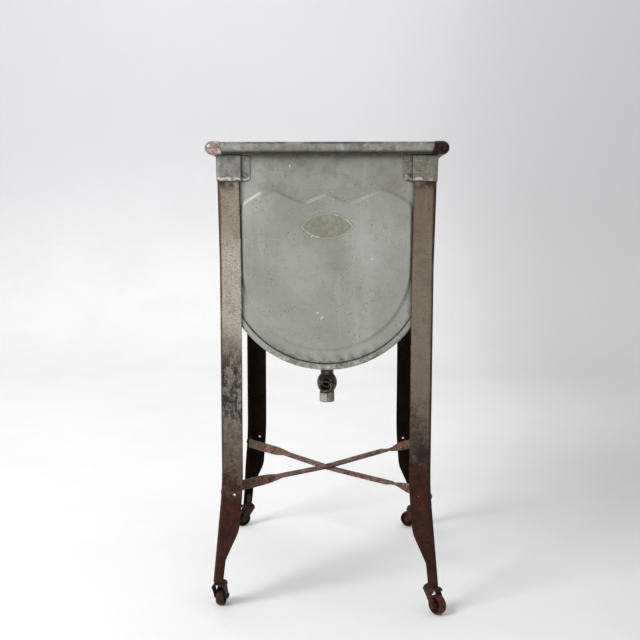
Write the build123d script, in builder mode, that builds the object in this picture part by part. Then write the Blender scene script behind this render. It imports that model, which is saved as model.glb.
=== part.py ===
from build123d import *
from math import cos, hypot, radians, sin, sqrt, tan
import os

# Tub on a stand with casters. Millimetres. The origin is on the floor under the middle of the tub,
# +Z is up, the drain valve is near the front, which faces -Y, and +X is to the right.

# Tub sheet
SHEET = 1.2  # thickness of the tub's sheet
GAP = 0.05  # clearance between assembled sheets
LEAN = radians(1.15)  # outward lean of the side walls
BOTTOM_R = 197.0  # outer radius of the round bottom
BOTTOM_Z = 663.5  # height of the round bottom's centre line
TUB_HALF = 232.4  # from the middle to the face of each hem
END_TOP = 866.0  # height where the ends of the side walls stop, under the end rims
SIDE_RIM_HALF = 227.5  # half length of the side rims
END_RIM_HALF = 203.5  # half length of the end rims

# Hem folded over each end panel
HEM_W = 11.5
HEM_T = 2.4
HEM_R = 4.0

# Rolled rim and its corner caps
RIM_R = 11.2
RIM_Z = 878.8
CAP_R = RIM_R + GAP + SHEET
CAP_ARM = 17.0  # from the corner's centre to the middle of the cap's slanted end
CAP_SLANT = 3.5  # how far the end line leans either way

# End panel
PANEL_OUT = TUB_HALF - HEM_T - 0.1
PANEL_IN = PANEL_OUT - SHEET
PANEL_TURN = 10.0  # width of the edge turned inward along the shell
FIELD_HALF = 160.7  # half width of the raised field
FIELD_LOW = 502.0
RAISE = 3.5  # height of the raised field
SLOPE = 6.0  # width of its sloped border
BACK_INSET = 0.3  # extra inset of the hollow behind it, which keeps the sheet even
RIM_Y = PANEL_IN + RIM_R

# Legs
LEG_T = 2.5
LEG_W = 41.0  # flange width
LEG_R = 6.0  # outer corner radius
LEG_TOP = 865.5
LEG_END = 54.0
LEG_Y = TUB_HALF + 0.1 + LEG_T
FLARE_TOP = 275.0  # where the leg starts to flare
FLARE_STRAIGHT = 200.0  # below this it flares in a straight line
FLARE_SLOPE = 0.09
FLARE_Y_SHARE = 0.85  # the flare to front and back, against the flare to the sides
CUT_TOP = 154.0  # top of the cut-away that narrows the flange
CUT_LOW = 97.0  # bottom of the cut-away's diagonal
ANKLE_W = 19.3
CUT_R = 60.0  # rounding where the cut-away starts
SPARE_X = 175.0
SPARE_Z = 224.0
SPARE_R = 2.2

# Leg sockets
SOCKET_T = 1.5
SOCKET_LOW = 819.0
SOCKET_REACH = 44.0  # how far the pocket reaches in from the leg's outer faces
TAB_W = 17.0
TAB_R = 8.0
RIVET_Z = 828.0
RIVET_IN = 8.5  # from the pocket's step to the rivet

# Rivets
RIVET_R = 2.5
RIVET_HEAD_R = 5.3
RIVET_HEAD_H = 2.6
RIVET_TAIL_R = 4.5
RIVET_TAIL_T = 1.2
HOLE_EASE = 0.03

# Brace
BAR_W = 20.0
BAR_T = 4.0
CROSS_Z = 215.7
CROSS_FLAT = 22.0  # level stretch each side of the crossing
BAR_LIFT = BAR_T / 2 + 0.02
FRONT_END_Z = 220.5
REAR_END_Z = 219.0
TWIST_LEFT = (141.0, 219.0)  # distances from the crossing where each twist begins and ends
TWIST_RIGHT = (178.0, 238.0)
TAB_END_Y = 227.0
BOLT_Y = 213.0
BOLT_R = 3.0
BOLT_HEAD_R = 6.5
BOLT_HEAD_H = 3.0
NUT_AF = 10.0
NUT_H = 5.0

# Drain
DRAIN_Y = -158.0
STUB_R = 10.6
STUB_BORE = 8.8
STUB_LOW = 449.5
FLANGE_R = 21.0
FLANGE_LOW = 469.7
FLANGE_T = 1.6
LOCKNUT_AF = 34.0
LOCKNUT_LOW = 457.5
VALVE_TOP = 456.4
VALVE_LOW = 410.5
NECK_R = 12.7
BULB_R = 19.0
BULB_Z = 436.0
FOOT_R = 14.0
PLUG_R = 9.95
PLUG_BORE = 7.5
PLUG_LEDGE = 445.5
PORT_R = 6.3
NOZZLE_R = 12.0
NOZZLE_BORE = 10.5
NOZZLE_LIP_R = 13.5
NOZZLE_LEN = 24.5
NOZZLE_STEP = 16.2  # where the wide bore meets the narrow port
NOZZLE_DOWN = radians(25)
NOZZLE_LEFT = radians(7)
HEX_AF = 29.0
HEX_LOW = 392.6
HEX_TOP = 410.4
SPIGOT_R = 5.5

# Casters
STEM_X = 205.2
STEM_Y = 238.6
STEM_R = 4.0
STEM_TOP = 74.0
SLEEVE_R = 6.0
SLEEVE_TOP = 78.0
COLLAR_R = 10.5
COLLAR_LOW = 51.15
COLLAR_TOP = 53.95
TRAIL = 15.0
WHEEL_R = 18.5
TREAD_HALF = 7.5
HUB_HALF = 10.6
HUB_R = 6.0
WEB_HALF = 2.0
WHEEL_RIM_IN = 13.8
AXLE_R = 3.0
FORK_HALF = 12.5
FORK_T = 1.8
FORK_TOP = 51.0
FORK_PLATE = 2.5
PLATE_LEN = 28.0  # length of the fork's crown along the trail
PLATE_SHIFT = 1.5
CHEEK_TOP = 42.0  # where the crown narrows into the cheeks
CHEEK_W = 20.0
BOSS_R = 6.5
SHOULDER_R = 7.5

CORNERS = {"fl": (-1, -1), "fr": (1, -1), "rl": (-1, 1), "rr": (1, 1)}
# Direction each wheel trails behind its stem at rest, degrees from +X.
TRAIL_TURN = {"fl": 84.0, "fr": -53.0, "rl": 212.0, "rr": 156.0}


def wall_x(z, inset=0.0):
    """Half width of the tub's U section at height z, less an inset square to the wall."""
    return (BOTTOM_R - inset + (z - BOTTOM_Z) * sin(LEAN)) / cos(LEAN)


RIM_X = wall_x(RIM_Z, SHEET) + RIM_R


def flare(z):
    """How far the leg stands out at height z because of its flare."""
    if z >= FLARE_TOP:
        return 0.0
    curve = FLARE_TOP - max(z, FLARE_STRAIGHT)
    bend = FLARE_SLOPE * curve**2 / (2 * (FLARE_TOP - FLARE_STRAIGHT))
    return bend + FLARE_SLOPE * max(FLARE_STRAIGHT - z, 0)


def leg_x(z):
    """Outer side face of the leg at height z."""
    return wall_x(max(z, BOTTOM_Z)) + GAP + LEG_T + flare(z)


def leg_y(z):
    """Outer front face of the leg at height z."""
    return LEG_Y + FLARE_Y_SHARE * flare(z)


def u_face(inset, top, mode=Mode.ADD):
    """U section of the tub, inset from its outside and flat at the top, in the current XZ sketch."""
    r = BOTTOM_R - inset
    side_x = r * cos(LEAN)
    side_z = BOTTOM_Z - r * sin(LEAN)
    top_x = wall_x(top, inset)
    with BuildLine() as outline:
        ThreePointArc((-side_x, side_z), (0, BOTTOM_Z - r), (side_x, side_z))
        Polyline((side_x, side_z), (top_x, top), (-top_x, top), (-side_x, side_z))
    make_face(outline.edges(), mode=mode)


def u_ring(plane, outside, inside, top, depth):
    """Part of a U-shaped sheet between two insets, from the plane toward -Y."""
    with BuildPart() as ring:
        with BuildSketch(plane):
            u_face(outside, top)
            u_face(inside, top + 1, Mode.SUBTRACT)
        extrude(amount=depth)
    return ring.part


def make_shell():
    """Bent sheet with both long edges rolled into side rims and its ends folded into hems."""
    with BuildPart() as tub_shell:
        add(u_ring(Plane.XZ.offset(-TUB_HALF), 0, SHEET, END_TOP, 2 * TUB_HALF))
        add(u_ring(Plane.XZ.offset(-TUB_HALF), 0, HEM_W, END_TOP, HEM_T))
        add(u_ring(Plane.XZ.offset(TUB_HALF - HEM_T), 0, HEM_W, END_TOP, HEM_T))
        folds = [e for e in tub_shell.edges() if is_fold(e)]
        fillet(folds, HEM_R)
        add(u_ring(Plane.XZ.offset(-SIDE_RIM_HALF), 0, SHEET, RIM_Z, 2 * SIDE_RIM_HALF))
        with BuildSketch(Plane.XZ.offset(-SIDE_RIM_HALF)):
            with Locations((-RIM_X, RIM_Z), (RIM_X, RIM_Z)):
                Circle(RIM_R)
                Circle(RIM_R - SHEET, mode=Mode.SUBTRACT)
        extrude(amount=2 * SIDE_RIM_HALF)
        with BuildSketch(Plane.XY.offset(BOTTOM_Z - BOTTOM_R - 5)):
            with Locations((0, DRAIN_Y)):
                Circle(STUB_R + 0.3)
        extrude(amount=20, mode=Mode.SUBTRACT)
        with BuildSketch(Plane.YZ.offset(-BOTTOM_R - 10)):
            with Locations((-side_rivet_y(), RIVET_Z), (side_rivet_y(), RIVET_Z)):
                Circle(RIVET_R + HOLE_EASE)
        extrude(amount=2 * BOTTOM_R + 20, mode=Mode.SUBTRACT)
    return tub_shell.part


def is_fold(edge):
    """True for the long outer edges of the hems."""
    start = edge @ 0
    at_end = abs(abs(edge.center().Y) - TUB_HALF) < 0.01
    outside = abs(abs(start.X) - wall_x(start.Z)) < 0.1
    return at_end and outside and edge.length > 5 * HEM_W


def shield(inset):
    """Outline of the raised field, in the current XZ sketch: two humps with a small peak between."""
    peak = (0, 797.5 - inset * 1.05)
    dip = (40, 783.3 - inset)
    hump = (113, 803.6 - inset)
    corner = (148.5 - inset * 0.75, 785.5 - inset * 0.7)
    side = (FIELD_HALF - inset, 754)
    foot = (FIELD_HALF - inset, BOTTOM_Z)
    depth = BOTTOM_Z - FIELD_LOW - inset
    with BuildLine() as outline:
        Spline(peak, dip, hump, corner, side, tangents=[(1, -0.2), (0, -1)])
        Line(side, foot)
        EllipticalCenterArc((0, BOTTOM_Z), FIELD_HALF - inset, depth, start_angle=-90, arc_size=90)
        mirror(about=Plane.YZ)
    make_face(outline.edges())


def make_end_panel():
    """Front end panel: flat sheet, raised field, turned edge, and its top rolled into the rim."""
    with BuildPart() as end_panel:
        with BuildSketch(Plane.XZ.offset(PANEL_IN)):
            u_face(SHEET + GAP, RIM_Z)
        extrude(amount=SHEET)
        turned = Plane.XZ.offset(PANEL_IN - PANEL_TURN)
        add(u_ring(turned, SHEET + GAP, 2 * SHEET + GAP, END_TOP, PANEL_TURN))
        with BuildSketch(Plane.XZ.offset(PANEL_OUT)):
            shield(0)
        with BuildSketch(Plane.XZ.offset(PANEL_OUT + RAISE)):
            shield(SLOPE)
        loft()
        with BuildSketch(Plane.XZ.offset(PANEL_IN)):
            shield(BACK_INSET)
        with BuildSketch(Plane.XZ.offset(PANEL_IN + RAISE)):
            shield(SLOPE + BACK_INSET)
        loft(mode=Mode.SUBTRACT)
        with BuildSketch(Plane.YZ.offset(-END_RIM_HALF)):
            with Locations((-RIM_Y, RIM_Z)):
                Circle(RIM_R)
                Circle(RIM_R - SHEET, mode=Mode.SUBTRACT)
        extrude(amount=2 * END_RIM_HALF)
        with BuildSketch(Plane.XZ.offset(PANEL_IN)):
            with Locations((-front_rivet_x(), RIVET_Z), (front_rivet_x(), RIVET_Z)):
                Circle(RIVET_R + HOLE_EASE)
        extrude(amount=SHEET, mode=Mode.SUBTRACT)
    return end_panel.part


def make_corner_cap():
    """Pressed elbow over the rim's corner, open below where the walls come up. +X +Y corner."""
    low = RIM_Z - CAP_R - 1
    high = RIM_Z + CAP_R + 1
    end_x = RIM_X - CAP_ARM
    end_y = RIM_Y - CAP_ARM
    reach = CAP_ARM + 2 * CAP_SLANT
    with BuildPart() as corner_cap:
        for radius, mode in ((CAP_R, Mode.ADD), (CAP_R - SHEET, Mode.SUBTRACT)):
            with Locations((RIM_X, RIM_Y, RIM_Z)):
                Sphere(radius, mode=mode)
            with BuildSketch(Plane.YZ.offset(RIM_X - reach)):
                with Locations((RIM_Y, RIM_Z)):
                    Circle(radius)
            extrude(amount=reach, mode=mode)
            with BuildSketch(Plane.XZ.offset(-RIM_Y)):
                with Locations((RIM_X, RIM_Z)):
                    Circle(radius)
            extrude(amount=reach, mode=mode)
        with BuildSketch(Plane.XZ.offset(-RIM_Y - CAP_R)):
            slanted_end(end_x, low, high)
        extrude(amount=2 * CAP_R, mode=Mode.SUBTRACT)
        with BuildSketch(Plane.YZ.offset(RIM_X - CAP_R)):
            slanted_end(end_y, low, high)
        extrude(amount=2 * CAP_R, mode=Mode.SUBTRACT)
        with BuildSketch(Plane.XY.offset(low)):
            with Locations((RIM_X - 8.5, SIDE_RIM_HALF + 0.2)):
                Rectangle(50, 50, align=(Align.MAX, Align.MAX))
            with Locations((wall_x(RIM_Z, SHEET) + 0.2, RIM_Y - 8.5)):
                Rectangle(50, 50, align=(Align.MAX, Align.MAX))
        extrude(amount=CAP_R + 2, mode=Mode.SUBTRACT)
    return corner_cap.part


def slanted_end(end, low, high):
    """Face of what is cut off one end of the corner cap, in the current sketch."""
    far = end - CAP_ARM
    with BuildLine() as outline:
        Polyline((end + CAP_SLANT, high), (end - CAP_SLANT, low), (far, low), (far, high), close=True)
    make_face(outline.edges())


def nearest(vertices, x, y):
    """The vertex that is closest to (x, y) in plan."""
    return vertices.sort_by(lambda v: hypot(v.X - x, v.Y - y))[0]


def leg_section(z):
    """L section of the leg at height z, for the +X +Y corner."""
    x = leg_x(z)
    y = leg_y(z)
    with BuildSketch(Plane.XY.offset(z)) as section:
        with BuildLine():
            Polyline(
                (x, y),
                (x - LEG_W, y),
                (x - LEG_W, y - LEG_T),
                (x - LEG_T, y - LEG_T),
                (x - LEG_T, y - LEG_W),
                (x, y - LEG_W),
                close=True,
            )
        make_face()
        fillet(nearest(section.vertices(), x, y), LEG_R)
        fillet(nearest(section.vertices(), x - LEG_T, y - LEG_T), LEG_R - LEG_T)
    return section.sketch


def leg_cut(corner):
    """Outline of what is cut off the flange's inner edge, given the corner's place as a function of z."""
    with BuildLine() as outline:
        Polyline(
            (corner(CUT_TOP) - LEG_W, CUT_TOP),
            (corner(CUT_LOW) - ANKLE_W - 1, CUT_LOW),
            (corner(LEG_END) - ANKLE_W, LEG_END - 1),
            (corner(LEG_END) - 2 * LEG_W, LEG_END - 1),
            (corner(LEG_END) - 2 * LEG_W, CUT_TOP),
            close=True,
        )
    make_face(outline.edges())


def make_leg(bolt_z):
    """Pressed angle: full width to the brace, then cut away and flared to the ankle. +X +Y corner."""
    bend = [FLARE_STRAIGHT + k * (FLARE_TOP - FLARE_STRAIGHT) / 3 for k in range(4)]
    with BuildPart() as leg:
        loft([leg_section(BOTTOM_Z), leg_section(LEG_TOP)], ruled=True)
        loft([leg_section(FLARE_TOP), leg_section(BOTTOM_Z)], ruled=True)
        loft([leg_section(z) for z in bend])
        loft([leg_section(LEG_END), leg_section(FLARE_STRAIGHT)], ruled=True)
        with BuildSketch(Plane.XZ.offset(-leg_y(LEG_END) - 1)):
            leg_cut(leg_x)
        extrude(amount=2 * LEG_W, mode=Mode.SUBTRACT)
        with BuildSketch(Plane.YZ.offset(leg_x(LEG_END) - 2 * LEG_W)):
            leg_cut(leg_y)
        extrude(amount=2 * LEG_W + 1, mode=Mode.SUBTRACT)
        starts = leg.edges().filter_by(lambda e: e.length < 1.5 * LEG_T)
        fillet(starts.filter_by(lambda e: abs(e.center().Z - CUT_TOP) < 1), CUT_R)
        with BuildSketch(Plane.XZ.offset(-leg_y(LEG_END) - 1)):
            with Locations((SPARE_X, SPARE_Z)):
                Circle(SPARE_R)
        extrude(amount=LEG_W / 2, mode=Mode.SUBTRACT)
        with BuildSketch(Plane.YZ.offset(leg_x(LEG_END) - LEG_W / 2)):
            with Locations((BOLT_Y, bolt_z)):
                Circle(BOLT_R + HOLE_EASE)
        extrude(amount=LEG_W / 2 + 1, mode=Mode.SUBTRACT)
    return leg.part


def front_rivet_x():
    """Where the rivet of the front tab sits."""
    return leg_x(SOCKET_LOW) - SOCKET_REACH - RIVET_IN


def side_rivet_y():
    """Where the rivet of the side tab sits."""
    return LEG_Y - SOCKET_REACH - RIVET_IN


def socket_section(z):
    """Section of the leg socket at height z, for the +X +Y corner: tab, step, pocket, step, tab."""
    out_x = leg_x(z) + GAP
    out_y = LEG_Y + GAP
    tab_x = wall_x(z) + GAP
    tab_y = PANEL_OUT + GAP
    step_x = leg_x(SOCKET_LOW) - SOCKET_REACH
    step_y = LEG_Y - SOCKET_REACH
    t = SOCKET_T
    with BuildSketch(Plane.XY.offset(z)) as section:
        with BuildLine():
            Polyline(
                (step_x - TAB_W, tab_y),
                (step_x + t, tab_y),
                (step_x + t, out_y),
                (out_x, out_y),
                (out_x, step_y + t),
                (tab_x, step_y + t),
                (tab_x, step_y - TAB_W),
                (tab_x + t, step_y - TAB_W),
                (tab_x + t, step_y),
                (out_x + t, step_y),
                (out_x + t, out_y + t),
                (step_x, out_y + t),
                (step_x, tab_y + t),
                (step_x - TAB_W, tab_y + t),
                close=True,
            )
        make_face()
        fillet(nearest(section.vertices(), out_x + t, out_y + t), LEG_R + t)
        fillet(nearest(section.vertices(), out_x, out_y), LEG_R)
    return section.sketch


def make_leg_socket():
    """Bent strip round the leg's top, with a riveted tab at each end. +X +Y corner."""
    tab_end_x = leg_x(SOCKET_LOW) - SOCKET_REACH - TAB_W
    tab_end_y = LEG_Y - SOCKET_REACH - TAB_W
    with BuildPart() as leg_socket:
        loft([socket_section(SOCKET_LOW), socket_section(LEG_TOP)], ruled=True)
        low = leg_socket.edges().group_by(Axis.Z)[0]
        end_x = low.sort_by(lambda e: abs(e.center().X - tab_end_x))[0]
        end_y = low.sort_by(lambda e: abs(e.center().Y - tab_end_y))[0]
        fillet([end_x, end_y], TAB_R)
        with BuildSketch(Plane.XZ.offset(-TUB_HALF)):
            with Locations((front_rivet_x(), RIVET_Z)):
                Circle(RIVET_R + HOLE_EASE)
        extrude(amount=10, both=True, mode=Mode.SUBTRACT)
        with BuildSketch(Plane.YZ.offset(BOTTOM_R)):
            with Locations((side_rivet_y(), RIVET_Z)):
                Circle(RIVET_R + HOLE_EASE)
        extrude(amount=10, mode=Mode.SUBTRACT)
    return leg_socket.part


def turned_fastener(head_r, head_h, shank_r, grip, tail_r, tail_t):
    """Fastener along Z: domed head above z = 0, shank down through the grip, flat tail below it."""
    with BuildPart() as fastener:
        with BuildSketch(Plane.XZ):
            with BuildLine():
                ThreePointArc((0, head_h), (head_r * 0.62, head_h * 0.7), (head_r, 0))
                Polyline(
                    (head_r, 0),
                    (shank_r, 0),
                    (shank_r, -grip),
                    (tail_r, -grip),
                    (tail_r, -grip - tail_t),
                    (0, -grip - tail_t),
                    (0, head_h),
                )
            make_face()
        revolve(axis=Axis.Z)
    return fastener.part


def make_socket_rivets():
    """One rivet per tab of the four leg sockets."""
    face_y = PANEL_OUT + GAP + SOCKET_T + 0.01
    face_x = wall_x(RIVET_Z + RIVET_HEAD_R) + GAP + SOCKET_T + 0.01
    grip_y = face_y - PANEL_IN + 0.01
    grip_x = face_x - wall_x(RIVET_Z - RIVET_TAIL_R, SHEET) + 0.05
    sizes = (RIVET_HEAD_R, RIVET_HEAD_H, RIVET_R)
    end_rivet = turned_fastener(*sizes, grip_y, RIVET_TAIL_R, RIVET_TAIL_T)
    side_rivet = turned_fastener(*sizes, grip_x, RIVET_TAIL_R, RIVET_TAIL_T)
    rivets = []
    for sx, sy in CORNERS.values():
        rivets.append(Pos(sx * front_rivet_x(), sy * face_y, RIVET_Z) * Rot(-90 * sy, 0, 0) * end_rivet)
        rivets.append(Pos(sx * face_x, sy * side_rivet_y(), RIVET_Z) * Rot(0, 90 * sx, 0) * side_rivet)
    return Compound(children=rivets)


def bar_section(along, s, z, turn):
    """Section of a brace bar at distance s from the crossing; turn 0 stands the bar on its edge."""
    across = Vector(-along.Y, along.X, 0)
    place = Plane(origin=along * s + Vector(0, 0, z), x_dir=across, z_dir=along)
    with BuildSketch(place) as section:
        Rectangle(BAR_T, BAR_W, rotation=turn)
    return section.sketch


def tab_face_x(end_z):
    """Outer face of the bar's bolted end, just inside the leg's side flange."""
    return leg_x(end_z + BAR_W / 2) - LEG_T - GAP


def bar_end(sx, sy, z, from_crossing):
    """Upright end of a brace bar: the last of the diagonal, a bend, and the bolted tab."""
    x = tab_face_x(z) - BAR_T / 2
    start = from_crossing / sqrt(2)
    with BuildPart() as end:
        with BuildSketch(Plane.XY.offset(z - BAR_W / 2)):
            with BuildLine():
                FilletPolyline((sx * start, sy * start), (sx * x, sy * x), (sx * x, sy * TAB_END_Y), radius=8)
            trace(line_width=BAR_T)
        extrude(amount=BAR_W)
        with BuildSketch(Plane.YZ):
            with Locations((sy * BOLT_Y, z)):
                Circle(BOLT_R + HOLE_EASE)
        extrude(amount=sx * (x + LEG_W), mode=Mode.SUBTRACT)
    return end.part


def make_brace_bar(rise, left_z, right_z, left_sy):
    """Flat bar from a left leg to the right leg across, with a quarter turn near each end."""
    along = Vector(1, -left_sy, 0).normalized()
    mid_z = CROSS_Z + rise
    left_in, left_out = TWIST_LEFT
    right_in, right_out = TWIST_RIGHT
    with BuildPart() as bar:
        flat = [(-left_in, left_z), (-CROSS_FLAT, mid_z), (CROSS_FLAT, mid_z), (right_in, right_z)]
        loft([bar_section(along, s, z, -90) for s, z in flat], ruled=True)
        step = (left_out - left_in) / 4
        loft([bar_section(along, -left_out + k * step, left_z, -22.5 * k) for k in range(5)])
        step = (right_out - right_in) / 4
        loft([bar_section(along, right_in + k * step, right_z, -90 - 22.5 * k) for k in range(5)])
        add(bar_end(-1, left_sy, left_z, left_out))
        add(bar_end(1, -left_sy, right_z, right_out))
        with BuildSketch(Plane.XY.offset(mid_z)):
            Circle(RIVET_R + HOLE_EASE)
        extrude(amount=BAR_T, both=True, mode=Mode.SUBTRACT)
    return bar.part


def make_brace_rivet():
    """Rivet through both bars where they cross."""
    face = CROSS_Z + BAR_LIFT + BAR_T / 2 + 0.01
    grip = 2 * (BAR_LIFT + BAR_T / 2) + 0.02
    rivet = turned_fastener(RIVET_HEAD_R, RIVET_HEAD_H, RIVET_R, grip, RIVET_TAIL_R, RIVET_TAIL_T)
    return Pos(0, 0, face) * rivet


def brace_ends():
    """Side signs and height of each bolted end of the two bars."""
    return [
        (-1, -1, FRONT_END_Z + BAR_LIFT),
        (1, -1, FRONT_END_Z - BAR_LIFT),
        (-1, 1, REAR_END_Z - BAR_LIFT),
        (1, 1, REAR_END_Z + BAR_LIFT),
    ]


def make_brace_bolts():
    """Round-headed bolts from outside through the legs and the bars' ends."""
    bolts = []
    for sx, sy, z in brace_ends():
        face = leg_x(z - BOLT_HEAD_R) + 0.02
        length = face - tab_face_x(z) + BAR_T + NUT_H + 1
        bolt = turned_fastener(BOLT_HEAD_R, BOLT_HEAD_H, BOLT_R, length, BOLT_R - 0.5, 0.5)
        bolts.append(Pos(sx * face, sy * BOLT_Y, z) * Rot(0, 90 * sx, 0) * bolt)
    return Compound(children=bolts)


def make_brace_nuts():
    """Hexagon nuts on the inner side of the bars' ends."""
    with BuildPart() as nut:
        with BuildSketch():
            RegularPolygon(NUT_AF / 2, 6, major_radius=False)
            Circle(BOLT_R + HOLE_EASE, mode=Mode.SUBTRACT)
        extrude(amount=NUT_H)
    nuts = []
    for sx, sy, z in brace_ends():
        seat = tab_face_x(z) - BAR_T - 0.02
        nuts.append(Pos(sx * seat, sy * BOLT_Y, z) * Rot(0, -90 * sx, 0) * nut.part)
    return Compound(children=nuts)


def make_drain_flange():
    """Flange inside the tub with a stub that goes down through the bottom into the valve."""
    with BuildPart() as drain_flange:
        with BuildSketch(Plane.XY.offset(FLANGE_LOW)):
            with Locations((0, DRAIN_Y)):
                Circle(FLANGE_R)
        extrude(amount=FLANGE_T)
        chamfer(drain_flange.faces().sort_by(Axis.Z)[-1].edges(), 0.8)
        with BuildSketch(Plane.XY.offset(STUB_LOW)):
            with Locations((0, DRAIN_Y)):
                Circle(STUB_R)
        extrude(amount=FLANGE_LOW - STUB_LOW)
        with BuildSketch(Plane.XY.offset(STUB_LOW)):
            with Locations((0, DRAIN_Y)):
                Circle(STUB_BORE)
        extrude(amount=FLANGE_LOW - STUB_LOW + FLANGE_T, mode=Mode.SUBTRACT)
    return drain_flange.part


def make_drain_gasket():
    """Ring under the flange, flat on top and curved below to the tub's bottom."""
    with BuildPart() as drain_gasket:
        with BuildSketch(Plane.XY.offset(BOTTOM_Z - BOTTOM_R)):
            with Locations((0, DRAIN_Y)):
                Circle(FLANGE_R - 1)
                Circle(STUB_R + HOLE_EASE, mode=Mode.SUBTRACT)
        extrude(amount=FLANGE_LOW - GAP - BOTTOM_Z + BOTTOM_R)
        with BuildSketch(Plane.XZ.offset(-DRAIN_Y - FLANGE_R)):
            with Locations((0, BOTTOM_Z)):
                Circle(BOTTOM_R - SHEET - 0.02)
        extrude(amount=2 * FLANGE_R, mode=Mode.INTERSECT)
    return drain_gasket.part


def make_drain_locknut():
    """Hexagon nut on the stub, tight under the tub's bottom."""
    with BuildPart() as drain_locknut:
        with BuildSketch(Plane.XY.offset(LOCKNUT_LOW)):
            with Locations((0, DRAIN_Y)):
                RegularPolygon(LOCKNUT_AF / 2, 6, major_radius=False)
                Circle(STUB_R + HOLE_EASE, mode=Mode.SUBTRACT)
        extrude(amount=BOTTOM_Z - BOTTOM_R - GAP - LOCKNUT_LOW)
    return drain_locknut.part


def nozzle_plane(distance):
    """Plane across the nozzle at a distance from the valve's axis, facing out of the mouth."""
    out = Vector(
        -sin(NOZZLE_LEFT) * cos(NOZZLE_DOWN),
        -cos(NOZZLE_LEFT) * cos(NOZZLE_DOWN),
        -sin(NOZZLE_DOWN),
    )
    return Plane(origin=Vector(0, DRAIN_Y, BULB_Z) + out * distance, x_dir=(1, 0, 0), z_dir=out)


def turned_at_drain(points, arc=None):
    """Solid of revolution about the drain's axis from (radius, height) points, and one bulging arc."""
    with BuildPart() as turned:
        with BuildSketch(Plane.XZ.offset(-DRAIN_Y)):
            with BuildLine():
                Polyline(*points)
                if arc:
                    ThreePointArc(points[-1], arc, points[0])
                else:
                    Line(points[-1], points[0])
            make_face()
        revolve(axis=Axis((0, DRAIN_Y, 0), (0, 0, 1)))
    return turned.part


def make_valve_body():
    """Valve body: neck, bulb and foot in one casting, with the nozzle forward and down."""
    with BuildPart() as valve_body:
        outside = [(FOOT_R, VALVE_LOW + 4), (FOOT_R, VALVE_LOW), (0, VALVE_LOW)]
        outside += [(0, VALVE_TOP), (NECK_R, VALVE_TOP), (NECK_R, PLUG_LEDGE + 2)]
        add(turned_at_drain(outside, (BULB_R, BULB_Z)))
        with BuildSketch(nozzle_plane(0)):
            Circle(NOZZLE_R)
        extrude(amount=NOZZLE_LEN)
        with BuildSketch(nozzle_plane(NOZZLE_LEN - 5)):
            Circle(NOZZLE_LIP_R)
        extrude(amount=5)
        lips = valve_body.edges().filter_by(GeomType.CIRCLE)
        fillet(lips.filter_by(lambda e: abs(e.radius - NOZZLE_LIP_R) < 0.01), 1)
        with BuildSketch(Plane.XY.offset(VALVE_LOW)):
            with Locations((0, DRAIN_Y)):
                Circle(PLUG_R + GAP)
        extrude(amount=PLUG_LEDGE - VALVE_LOW, mode=Mode.SUBTRACT)
        with BuildSketch(Plane.XY.offset(PLUG_LEDGE)):
            with Locations((0, DRAIN_Y)):
                Circle(STUB_R + GAP)
        extrude(amount=VALVE_TOP - PLUG_LEDGE, mode=Mode.SUBTRACT)
        with BuildSketch(nozzle_plane(0)):
            Circle(PORT_R + 0.2)
        extrude(amount=NOZZLE_LEN, mode=Mode.SUBTRACT)
        with BuildSketch(nozzle_plane(NOZZLE_STEP)):
            Circle(NOZZLE_BORE)
        extrude(amount=NOZZLE_LEN, mode=Mode.SUBTRACT)
    return valve_body.part


def make_valve_plug():
    """Hollow plug with a side port; a collar keeps it up and a spigot carries the hexagon."""
    with BuildPart() as valve_plug:
        outside = [(0, PLUG_LEDGE + 3.5), (STUB_R, PLUG_LEDGE + 3.5), (STUB_R, PLUG_LEDGE + GAP)]
        outside += [(PLUG_R, PLUG_LEDGE + GAP), (PLUG_R, VALVE_LOW), (SPIGOT_R, VALVE_LOW)]
        outside += [(SPIGOT_R, HEX_LOW + 1), (0, HEX_LOW + 1)]
        add(turned_at_drain(outside))
        with BuildSketch(Plane.XY.offset(VALVE_LOW + 8)):
            with Locations((0, DRAIN_Y)):
                Circle(PLUG_BORE)
        extrude(amount=50, mode=Mode.SUBTRACT)
        with BuildSketch(nozzle_plane(0)):
            Circle(PORT_R)
        extrude(amount=20, mode=Mode.SUBTRACT)
    return valve_plug.part


def make_valve_hex():
    """Hexagon on the plug's spigot, turned with a wrench, its lower corners chamfered."""
    corner = HEX_AF / sqrt(3)
    with BuildPart() as valve_hex:
        with BuildSketch(Plane.XY.offset(HEX_LOW)):
            with Locations((0, DRAIN_Y)):
                RegularPolygon(HEX_AF / 2, 6, major_radius=False, rotation=30)
        extrude(amount=HEX_TOP - HEX_LOW)
        bound = [(0, HEX_LOW), (HEX_AF / 2 - 1, HEX_LOW), (corner + 0.2, HEX_LOW + 3)]
        bound += [(corner + 0.2, HEX_TOP - 1), (corner - 0.8, HEX_TOP), (0, HEX_TOP)]
        add(turned_at_drain(bound), mode=Mode.INTERSECT)
        with BuildSketch(Plane.XY.offset(HEX_LOW)):
            with Locations((0, DRAIN_Y)):
                Circle(SPIGOT_R + 0.02)
        extrude(amount=HEX_TOP - HEX_LOW, mode=Mode.SUBTRACT)
    return valve_hex.part


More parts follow.
